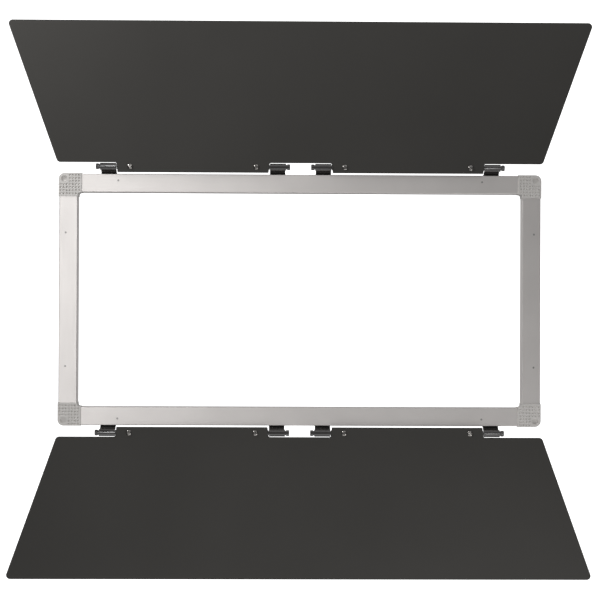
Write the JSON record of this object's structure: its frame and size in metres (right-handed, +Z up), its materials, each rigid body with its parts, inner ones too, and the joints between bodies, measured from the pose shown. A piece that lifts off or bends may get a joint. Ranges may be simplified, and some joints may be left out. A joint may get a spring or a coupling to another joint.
{
  "type": "barn door attachment",
  "caption": "Rectangular rail frame with plastic corner covers and two hinged sheet leaves that shape the beam of an LED panel light.",
  "frame": {"origin": "centre of the frame's back plane, which rests on the light, midway between the four corner screw holes", "axes": "+X along the frame's width, +Y to the back towards the light, +Z up; the front and the closing leaves face -Y"},
  "size_m": [0.7418, 0.0277, 0.709],
  "materials": {
    "rail_aluminium": "satin anodised",
    "cover_plastic": "matte light grey",
    "key_aluminium": "plain",
    "rivet_steel": "plain",
    "band_steel": "satin black",
    "shaft_steel": "satin black",
    "screw_steel": "dark plated",
    "leaf_paint": "matte charcoal powder coat"
  },
  "bodies": {
    "frame": {"top_rail": "rail_aluminium", "bottom_rail": "rail_aluminium", "left_rail": "rail_aluminium", "right_rail": "rail_aluminium", "corner_cover_top_left": "cover_plastic", "corner_cover_top_right": "cover_plastic", "corner_cover_bottom_left": "cover_plastic", "corner_cover_bottom_right": "cover_plastic", "corner_key_top_left": "key_aluminium", "corner_key_top_right": "key_aluminium", "corner_key_bottom_left": "key_aluminium", "corner_key_bottom_right": "key_aluminium", "corner_key_rivets": "rivet_steel", "hinge_band_top_outer_left": "band_steel", "hinge_band_top_inner_left": "band_steel", "hinge_band_top_inner_right": "band_steel", "hinge_band_top_outer_right": "band_steel", "hinge_band_bottom_outer_left": "band_steel", "hinge_band_bottom_inner_left": "band_steel", "hinge_band_bottom_inner_right": "band_steel", "hinge_band_bottom_outer_right": "band_steel", "band_screws_top": "screw_steel", "band_screws_bottom": "screw_steel"},
    "upper_leaf": {"top_leaf": "leaf_paint", "leaf_screws_top": "screw_steel", "hinge_shaft_top_outer_left": "shaft_steel", "hinge_shaft_top_inner_left": "shaft_steel", "hinge_shaft_top_inner_right": "shaft_steel", "hinge_shaft_top_outer_right": "shaft_steel"},
    "lower_leaf": {"bottom_leaf": "leaf_paint", "leaf_screws_bottom": "screw_steel", "hinge_shaft_bottom_outer_left": "shaft_steel", "hinge_shaft_bottom_inner_left": "shaft_steel", "hinge_shaft_bottom_inner_right": "shaft_steel", "hinge_shaft_bottom_outer_right": "shaft_steel"}
  },
  "joints": [
    {"name": "top_leaf_hinge", "type": "hinge", "parent": "frame", "child": "upper_leaf", "pos_m": [0, -0.023, 0.169], "axis": [1, 0, 0], "range_deg": [-90, 178]},
    {"name": "bottom_leaf_hinge", "type": "hinge", "parent": "frame", "child": "lower_leaf", "pos_m": [0, -0.023, -0.169], "axis": [-1, 0, 0], "range_deg": [-90, 180]}
  ]
}
